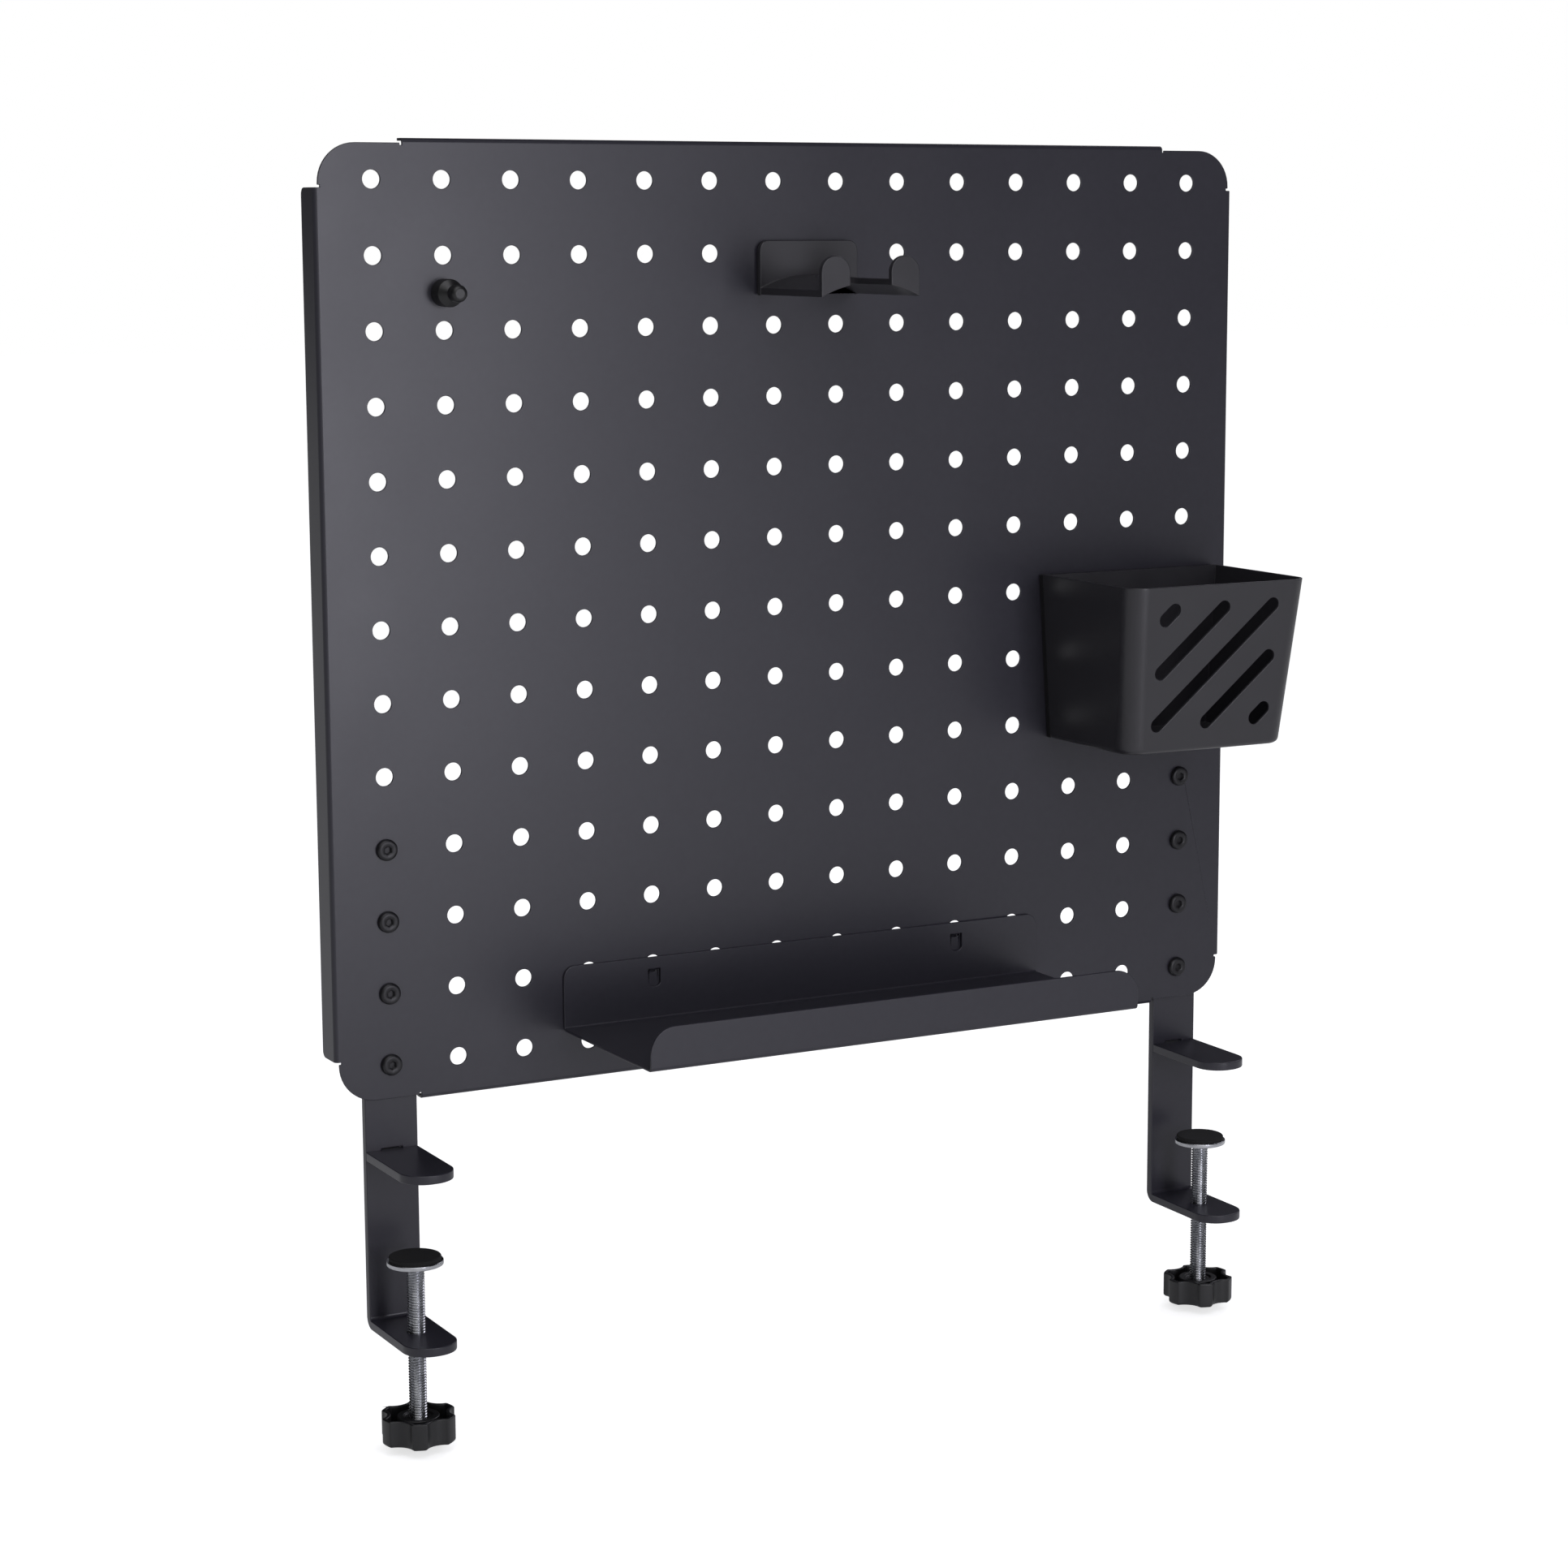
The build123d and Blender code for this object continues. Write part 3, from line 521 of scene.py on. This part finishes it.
def rolled_thread():
    """A tree that makes a right-hand threaded rod on Z, from 0 up, tapered at both ends."""
    tree, given = new_tree("rolled_thread", {
        "Diameter": "Float", "Pitch": "Float", "Length": "Float", "Depth": "Float",
        "Sides": "Int", "Steps": "Int"})
    turns_long = add_node(tree, "ShaderNodeMath", {"operation": "DIVIDE"},
                          i0=given["Length"], i1=given["Pitch"])
    one_more = add_node(tree, "ShaderNodeMath", {"operation": "ADD"}, i0=turns_long, i1=1.0)
    turns = add_node(tree, "ShaderNodeMath", {"operation": "CEIL"}, i0=one_more)
    steps = add_node(tree, "ShaderNodeMath", {"operation": "MULTIPLY"},
                     i0=turns, i1=given["Steps"])
    lines_round = add_node(tree, "ShaderNodeMath", {"operation": "ADD"},
                           i0=given["Sides"], i1=1.0)
    lines_up = add_node(tree, "ShaderNodeMath", {"operation": "ADD"}, i0=steps, i1=1.0)
    grid = add_node(tree, "GeometryNodeMeshGrid", Size_X=1.0, Size_Y=1.0,
                    Vertices_X=lines_round, Vertices_Y=lines_up)
    place = add_node(tree, "ShaderNodeSeparateXYZ",
                     i0=add_node(tree, "GeometryNodeInputPosition")).outputs
    round_share = add_node(tree, "ShaderNodeMath", {"operation": "ADD"}, i0=place["X"], i1=0.5)
    up_share = add_node(tree, "ShaderNodeMath", {"operation": "ADD"}, i0=place["Y"], i1=0.5)
    step_place = add_node(tree, "ShaderNodeMath", {"operation": "MULTIPLY"},
                          i0=up_share, i1=steps)
    step = add_node(tree, "ShaderNodeMath", {"operation": "ROUND"}, i0=step_place)

    # The grid's lines follow the helix, and are held between the rod's two ends.
    crest_turns = add_node(tree, "ShaderNodeMath", {"operation": "DIVIDE"},
                           i0=step, i1=given["Steps"])
    turned_round = add_node(tree, "ShaderNodeMath", {"operation": "ADD"},
                            i0=crest_turns, i1=round_share)
    turn = add_node(tree, "ShaderNodeMath", {"operation": "SUBTRACT"}, i0=turned_round, i1=1.0)
    climb = add_node(tree, "ShaderNodeMath", {"operation": "MULTIPLY"},
                     i0=turn, i1=given["Pitch"])
    above_start = add_node(tree, "ShaderNodeMath", {"operation": "MAXIMUM"}, i0=climb, i1=0.0)
    height = add_node(tree, "ShaderNodeMath", {"operation": "MINIMUM"},
                      i0=above_start, i1=given["Length"])

    # The groove is a V with a flat crest and a flat root, and runs out at both ends.
    half_wave = add_node(tree, "ShaderNodeMath", {"operation": "PINGPONG"},
                         i0=crest_turns, i1=0.5)
    from_crest = add_node(tree, "ShaderNodeMath", {"operation": "MULTIPLY"},
                          i0=half_wave, i1=2.0)
    groove = add_node(tree, "ShaderNodeMapRange", Value=from_crest,
                      From_Min=CREST_SHARE, From_Max=ROOT_SHARE)
    radius = add_node(tree, "ShaderNodeMath", {"operation": "MULTIPLY"},
                      i0=given["Diameter"], i1=0.5)
    root = add_node(tree, "ShaderNodeMath", {"operation": "SUBTRACT"},
                    i0=radius, i1=given["Depth"])
    cut = add_node(tree, "ShaderNodeMath", {"operation": "MULTIPLY"},
                   i0=given["Depth"], i1=groove)
    thread_reach = add_node(tree, "ShaderNodeMath", {"operation": "SUBTRACT"}, i0=radius, i1=cut)
    below_top = add_node(tree, "ShaderNodeMath", {"operation": "SUBTRACT"},
                         i0=given["Length"], i1=height)
    from_end = add_node(tree, "ShaderNodeMath", {"operation": "MINIMUM"},
                        i0=height, i1=below_top)
    tapered = add_node(tree, "ShaderNodeMath", {"operation": "ADD"}, i0=root, i1=from_end)
    reach = add_node(tree, "ShaderNodeMath", {"operation": "MINIMUM"},
                     i0=thread_reach, i1=tapered)

    angle = add_node(tree, "ShaderNodeMath", {"operation": "MULTIPLY"},
                     i0=round_share, i1=2 * pi)
    cosine = add_node(tree, "ShaderNodeMath", {"operation": "COSINE"}, i0=angle)
    sine = add_node(tree, "ShaderNodeMath", {"operation": "SINE"}, i0=angle)
    across = add_node(tree, "ShaderNodeMath", {"operation": "MULTIPLY"}, i0=reach, i1=cosine)
    deep = add_node(tree, "ShaderNodeMath", {"operation": "MULTIPLY"}, i0=reach, i1=sine)
    helix = add_node(tree, "ShaderNodeCombineXYZ", X=across, Y=deep, Z=height)
    flanks = add_node(tree, "GeometryNodeSetPosition", Geometry=grid.outputs["Mesh"],
                      Position=helix.outputs[0])
    end = add_node(tree, "GeometryNodeMeshCircle", {"fill_type": "NGON"},
                   Vertices=given["Sides"], Radius=root)
    lower_end = add_node(tree, "GeometryNodeFlipFaces", Mesh=end.outputs[0])
    lift = add_node(tree, "ShaderNodeCombineXYZ", Z=given["Length"])
    upper_end = add_node(tree, "GeometryNodeTransform", Geometry=end.outputs[0],
                         Translation=lift.outputs[0])
    rod = add_node(tree, "GeometryNodeJoinGeometry",
                   Geometry=[flanks.outputs[0], lower_end.outputs[0], upper_end.outputs[0]])
    whole = add_node(tree, "GeometryNodeMergeByDistance", Geometry=rod.outputs[0],
                     Distance=0.02 * MM)
    add_node(tree, "NodeGroupOutput", Geometry=whole.outputs[0])
    return tree


thread_tree = rolled_thread()

row, given = new_tree("screw_row", {
    "Count": "Int", "Spacing": "Float", "Thread Diameter": "Float", "Thread Pitch": "Float",
    "Screw Length": "Float", "First Screw": "Vector", "Material": "Material"})
step_up = add_node(row, "ShaderNodeCombineXYZ", Z=given["Spacing"])
places = add_node(row, "GeometryNodeMeshLine", Count=given["Count"],
                  Start_Location=given["First Screw"], Offset=step_up.outputs[0])
thread_depth = add_node(row, "ShaderNodeMath", {"operation": "MULTIPLY"},
                        i0=given["Thread Pitch"], i1=THREAD_DEPTH_SHARE)
shank = add_node(row, "GeometryNodeGroup", {"node_tree": thread_tree},
                 Diameter=given["Thread Diameter"], Pitch=given["Thread Pitch"],
                 Length=given["Screw Length"], Sides=SHANK_SIDES, Steps=SHANK_STEPS,
                 Depth=thread_depth)
down = add_node(row, "ShaderNodeMath", {"operation": "MULTIPLY"},
                i0=given["Screw Length"], i1=-1.0)
sunk = add_node(row, "ShaderNodeCombineXYZ", Z=down)
shank_under = add_node(row, "GeometryNodeTransform", Geometry=shank.outputs[0],
                       Translation=sunk.outputs[0])
screw = add_node(row, "GeometryNodeJoinGeometry",
                 Geometry=[given["Geometry"], shank_under.outputs[0]])
screws = add_node(row, "GeometryNodeInstanceOnPoints", Points=places.outputs[0],
                  Instance=screw.outputs[0], Rotation=(radians(90), 0.0, 0.0))
real_screws = add_node(row, "GeometryNodeRealizeInstances", Geometry=screws.outputs[0])
plated = add_node(row, "GeometryNodeSetMaterial", Geometry=real_screws.outputs[0],
                  Material=given["Material"])
add_node(row, "NodeGroupOutput", Geometry=plated.outputs[0])

black_zinc = bpy.data.materials.new("black_zinc_plate")
black_zinc.use_nodes = True
tree = black_zinc.node_tree
tree.nodes.clear()
place = add_node(tree, "ShaderNodeTexCoord").outputs["Object"]
wear = add_node(tree, "ShaderNodeTexNoise", Vector=place, Scale=1 / BLACK_ZINC_WEAR, Detail=3.0)
tint = add_node(tree, "ShaderNodeMix", {"data_type": "RGBA"}, i0=wear.outputs["Fac"],
                i6=linear(BLACK_ZINC), i7=linear(BLACK_ZINC_WORN))
rough = add_node(tree, "ShaderNodeMapRange", Value=wear.outputs["Fac"], To_Min=0.3, To_Max=0.45)
skin = add_node(tree, "ShaderNodeBsdfPrincipled", Base_Color=tint.outputs[2],
                Roughness=rough.outputs[0], Metallic=0.35)
add_node(tree, "ShaderNodeOutputMaterial", Surface=skin.outputs[0])

head_rings = [(SCREW_HEAD / 2, 0, 0)]
head_rings += [
    (SCREW_HEAD / 2 - SCREW_HEAD_ROUND + x, SCREW_HEAD_HEIGHT - SCREW_HEAD_ROUND + y, 0)
    for x, y in arc(SCREW_HEAD_ROUND, 0, 90, HEAD_ROUND_STEPS)]
head_rings += [
    (SOCKET / sqrt(3) + SOCKET_CHAMFER, SCREW_HEAD_HEIGHT, 0),
    (0, SCREW_HEAD_HEIGHT - SOCKET_CHAMFER, SOCKET),
    (0, SCREW_HEAD_HEIGHT - SOCKET_DEPTH, SOCKET),
]
for side, x in (("left", -clamp_x), ("right", clamp_x)):
    heads = new_object("bracket_screws_" + side + "_piece",
                       turned("screw_head", head_rings, HEAD_SIDES))
    made_by(row, heads, {
        "Count": SCREWS_PER_SIDE, "Spacing": PITCH, "Thread Diameter": SCREW_DIAMETER,
        "Thread Pitch": SCREW_PITCH, "Screw Length": SCREW_LENGTH, "Material": black_zinc,
        "First Screw": (x, panel_low.y, panel_low.z + END_MARGIN)})
    stands_for(heads, "bracket_screws_" + side)


# The clamp spindles: M8 steel screws with a rolled 1.25 mm thread, bright zinc plated, turned
# down at the top to a neck whose swaged head turns in the foot. The plating is pale and
# slightly blue, and its crests catch the light in thin bright lines.
SPINDLE_DIAMETER = 8 * MM
SPINDLE_PITCH = 1.25 * MM
NECK_DIAMETER = 5.1 * MM
SWAGED_DIAMETER = 7.2 * MM
SWAGED_HEIGHT = 0.8 * MM
FOOT_PLAY = 0.1 * MM
SPINDLE_SIDES = 32
SPINDLE_STEPS = 8
PLATE_PATCH = 4 * MM
ZINC = "#dcdde0"
ZINC_DULL = "#9fa1a6"


def metal_plate(name, low, high, colour, dull_colour):
    """A bright plated metal, with patches a little duller."""
    metal = bpy.data.materials.new(name)
    metal.use_nodes = True
    tree = metal.node_tree
    tree.nodes.clear()
    place = add_node(tree, "ShaderNodeTexCoord").outputs["Object"]
    patches = add_node(tree, "ShaderNodeTexNoise", Vector=place, Scale=1 / PLATE_PATCH, Detail=3.0)
    tint = add_node(tree, "ShaderNodeMix", {"data_type": "RGBA"}, i0=patches.outputs["Fac"],
                    i6=linear(colour), i7=linear(dull_colour))
    rough = add_node(tree, "ShaderNodeMapRange", Value=patches.outputs["Fac"],
                     To_Min=low, To_Max=high)
    skin = add_node(tree, "ShaderNodeBsdfPrincipled", Base_Color=tint.outputs[2],
                    Roughness=rough.outputs[0], Metallic=1.0)
    add_node(tree, "ShaderNodeOutputMaterial", Surface=skin.outputs[0])
    return metal


rod, given = new_tree("threaded_spindle", {
    "Diameter": "Float", "Pitch": "Float", "Length": "Float", "Lower End": "Vector",
    "Material": "Material"})
thread_depth = add_node(rod, "ShaderNodeMath", {"operation": "MULTIPLY"},
                        i0=given["Pitch"], i1=THREAD_DEPTH_SHARE)
thread = add_node(rod, "GeometryNodeGroup", {"node_tree": thread_tree},
                  Diameter=given["Diameter"], Pitch=given["Pitch"], Length=given["Length"],
                  Sides=SPINDLE_SIDES, Steps=SPINDLE_STEPS, Depth=thread_depth)
whole = add_node(rod, "GeometryNodeJoinGeometry", Geometry=[given["Geometry"], thread.outputs[0]])
placed = add_node(rod, "GeometryNodeTransform", Geometry=whole.outputs[0],
                  Translation=given["Lower End"])
real_rod = add_node(rod, "GeometryNodeRealizeInstances", Geometry=placed.outputs[0])
plated = add_node(rod, "GeometryNodeSetMaterial", Geometry=real_rod.outputs[0],
                  Material=given["Material"])
add_node(rod, "NodeGroupOutput", Geometry=plated.outputs[0])

zinc = metal_plate("bright_zinc_plate", 0.18, 0.34, ZINC, ZINC_DULL)
for side in ("left", "right"):
    low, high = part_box("clamp_spindle_" + side)
    shank_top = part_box("foot_disc_" + side)[0].z - FOOT_PLAY - low.z
    swaged_top = high.z - low.z
    neck_rings = [
        (NECK_DIAMETER / 2, shank_top, 0),
        (NECK_DIAMETER / 2, swaged_top - SWAGED_HEIGHT, 0),
        (SWAGED_DIAMETER / 2, swaged_top - SWAGED_HEIGHT, 0),
        (SWAGED_DIAMETER / 2, swaged_top, 0),
    ]
    spindle = new_object("clamp_spindle_" + side + "_piece",
                         turned("neck", neck_rings, SPINDLE_SIDES))
    made_by(rod, spindle, {
        "Diameter": SPINDLE_DIAMETER, "Pitch": SPINDLE_PITCH, "Length": shank_top,
        "Lower End": ((low.x + high.x) / 2, (low.y + high.y) / 2, low.z), "Material": zinc})
    stands_for(spindle, "clamp_spindle_" + side)


# The feet: discs turned from steel plate and zinc plated like the spindles, with their rims
# broken, and on each a soft black EVA foam pad that grips the desk. The foam's cut cells make
# it dull and slightly grainy, and each cell's hollow is painted darker: painted shade.
DISC_EDGE = 0.35 * MM
PAD_EDGE = 0.1 * MM
FOAM_CELL = 0.5 * MM
FOAM_CELL_DEPTH = 0.1 * MM
FOAM = "#141415"
# The cells' hollows are coloured darker than the foam: painted shade, not the foam's own colour.
FOAM_PORE_SHADE = "#0b0b0c"


def foam(name, colour, pore_shade_colour, cell):
    """Closed-cell foam with cut cells of one size on its surface, their hollows darkened: painted
    shade.
    """
    rubber = bpy.data.materials.new(name)
    rubber.use_nodes = True
    tree = rubber.node_tree
    tree.nodes.clear()
    place = add_node(tree, "ShaderNodeTexCoord").outputs["Object"]
    cells = add_node(tree, "ShaderNodeTexVoronoi", Vector=place, Scale=1 / cell)
    # The colour darkens towards each cell's middle, where the bump sinks it: painted shade in the
    # hollows.
    tint = add_node(tree, "ShaderNodeMix", {"data_type": "RGBA"}, i0=cells.outputs["Distance"],
                    i6=linear(pore_shade_colour), i7=linear(colour))
    bump = add_node(tree, "ShaderNodeBump", Strength=0.4, Distance=FOAM_CELL_DEPTH,
                    Height=cells.outputs["Distance"])
    skin = add_node(tree, "ShaderNodeBsdfPrincipled", Base_Color=tint.outputs[2],
                    Roughness=0.85, Normal=bump.outputs[0], IOR=1.45)
    add_node(tree, "ShaderNodeOutputMaterial", Surface=skin.outputs[0])
    return rubber


pad_foam = foam("black_eva_foam", FOAM, FOAM_PORE_SHADE, FOAM_CELL)
for side in ("left", "right"):
    disc = softened("foot_disc_" + side, DISC_EDGE)
    disc.data.materials.append(zinc)
    stands_for(disc, "foot_disc_" + side)
    pad = softened("foot_pad_" + side, PAD_EDGE)
    pad.data.materials.append(pad_foam)
    stands_for(pad, "foot_pad_" + side)


# The knobs: six-lobed shells with a hub, moulded in glass-filled nylon. The mould's fine spark
# texture gives a satin black, with soft highlights along the lobes.
KNOB_EDGE = 0.5 * MM
SPARK_GRAIN = 0.35 * MM
GRAIN_DEPTH = 0.02 * MM
FLOW_MARK = 25 * MM
NYLON = "#161617"
NYLON_WORN = "#1e1e20"


def moulded(name, colour, light_colour, roughness, grain):
    """A moulded plastic with the fine texture of its spark-eroded mould."""
    plastic = bpy.data.materials.new(name)
    plastic.use_nodes = True
    tree = plastic.node_tree
    tree.nodes.clear()
    place = add_node(tree, "ShaderNodeTexCoord").outputs["Object"]
    flow = add_node(tree, "ShaderNodeTexNoise", Vector=place, Scale=1 / FLOW_MARK, Detail=3.0)
    tint = add_node(tree, "ShaderNodeMix", {"data_type": "RGBA"}, i0=flow.outputs["Fac"],
                    i6=linear(colour), i7=linear(light_colour))
    rough = add_node(tree, "ShaderNodeMapRange", Value=flow.outputs["Fac"],
                     To_Min=roughness - ROUGHNESS_SPREAD, To_Max=roughness + ROUGHNESS_SPREAD)
    spark = add_node(tree, "ShaderNodeTexNoise", Vector=place, Scale=1 / grain, Detail=2.0)
    bump = add_node(tree, "ShaderNodeBump", Strength=0.2, Distance=GRAIN_DEPTH,
                    Height=spark.outputs["Fac"])
    skin = add_node(tree, "ShaderNodeBsdfPrincipled", Base_Color=tint.outputs[2],
                    Roughness=rough.outputs[0], Normal=bump.outputs[0], IOR=1.53)
    add_node(tree, "ShaderNodeOutputMaterial", Surface=skin.outputs[0])
    return plastic


nylon = moulded("satin_black_nylon", NYLON, NYLON_WORN, 0.38, SPARK_GRAIN)
for side in ("left", "right"):
    knob = softened("clamp_knob_" + side, KNOB_EDGE, 3)
    knob.data.materials.append(nylon)
    stands_for(knob, "clamp_knob_" + side)


# The shelf tray: one sheet of the same steel as the board, bent up at the back and the front,
# with two hooks lanced out of its back. Its powder coat matches the board's.
SHEET_EDGE = 0.25 * MM
shelf_paint = powder_coat("shelf_powder_coat", CHARCOAL, CHARCOAL_DUST, BOARD_ROUGHNESS)
shelf = softened("shelf_tray", SHEET_EDGE)
shelf.data.materials.append(shelf_paint)
stands_for(shelf, "shelf_tray")


# The pen cup: a tapered box moulded in charcoal ABS, with five slanting slots through its
# front and a plain black plate behind it that carries the two peg hooks. ABS is a little
# glossier than the powder coat, and its rounded front corners catch the light.
CUP_EDGE = 0.3 * MM
ABS_GRAIN = 0.4 * MM
ABS_ROUGHNESS = 0.34
ABS_CHARCOAL = "#28272b"
ABS_CHARCOAL_LIGHT = "#2e2d31"
ABS_BLACK = "#131314"
ABS_BLACK_LIGHT = "#1a1a1b"
cup_abs = moulded("charcoal_abs", ABS_CHARCOAL, ABS_CHARCOAL_LIGHT, ABS_ROUGHNESS, ABS_GRAIN)
cup = softened("pen_cup", CUP_EDGE)
cup.data.materials.append(cup_abs)
stands_for(cup, "pen_cup")

hanger_abs = moulded("black_abs", ABS_BLACK, ABS_BLACK_LIGHT, 0.4, ABS_GRAIN)
hanger = softened("cup_hanger", CUP_EDGE)
hanger.data.materials.append(hanger_abs)
stands_for(hanger, "cup_hanger")


# The headset hook: a plate, an arched saddle and two round-topped prongs, moulded in one in
# the cup's charcoal ABS. A thin soft pad behind it keeps it off the paint.
HOOK_EDGE = 0.35 * MM
HOOK_PAD_EDGE = 0.1 * MM
hook_abs = moulded("hook_charcoal_abs", ABS_CHARCOAL, ABS_CHARCOAL_LIGHT, ABS_ROUGHNESS,
                   ABS_GRAIN)
hook = softened("headset_hook", HOOK_EDGE)
hook.data.materials.append(hook_abs)
stands_for(hook, "headset_hook")
hook_pad = softened("hook_pad", HOOK_PAD_EDGE)
hook_pad.data.materials.append(pad_foam)
stands_for(hook_pad, "hook_pad")


# The push pin: a black grip, turned in shape and moulded in ABS, with a nickel-plated disc
# magnet set in its base. Nickel is a warm, bright mirror with faint grinding haze.
PIN_EDGE = 0.15 * MM
MAGNET_EDGE = 0.1 * MM
NICKEL = "#bdb8b0"
NICKEL_DULL = "#aaa59c"
pin = softened("pin_grip", PIN_EDGE)
pin.data.materials.append(hanger_abs)
stands_for(pin, "pin_grip")
nickel = metal_plate("bright_nickel_plate", 0.1, 0.2, NICKEL, NICKEL_DULL)
magnet = softened("pin_magnet", MAGNET_EDGE)
magnet.data.materials.append(nickel)
stands_for(magnet, "pin_magnet")
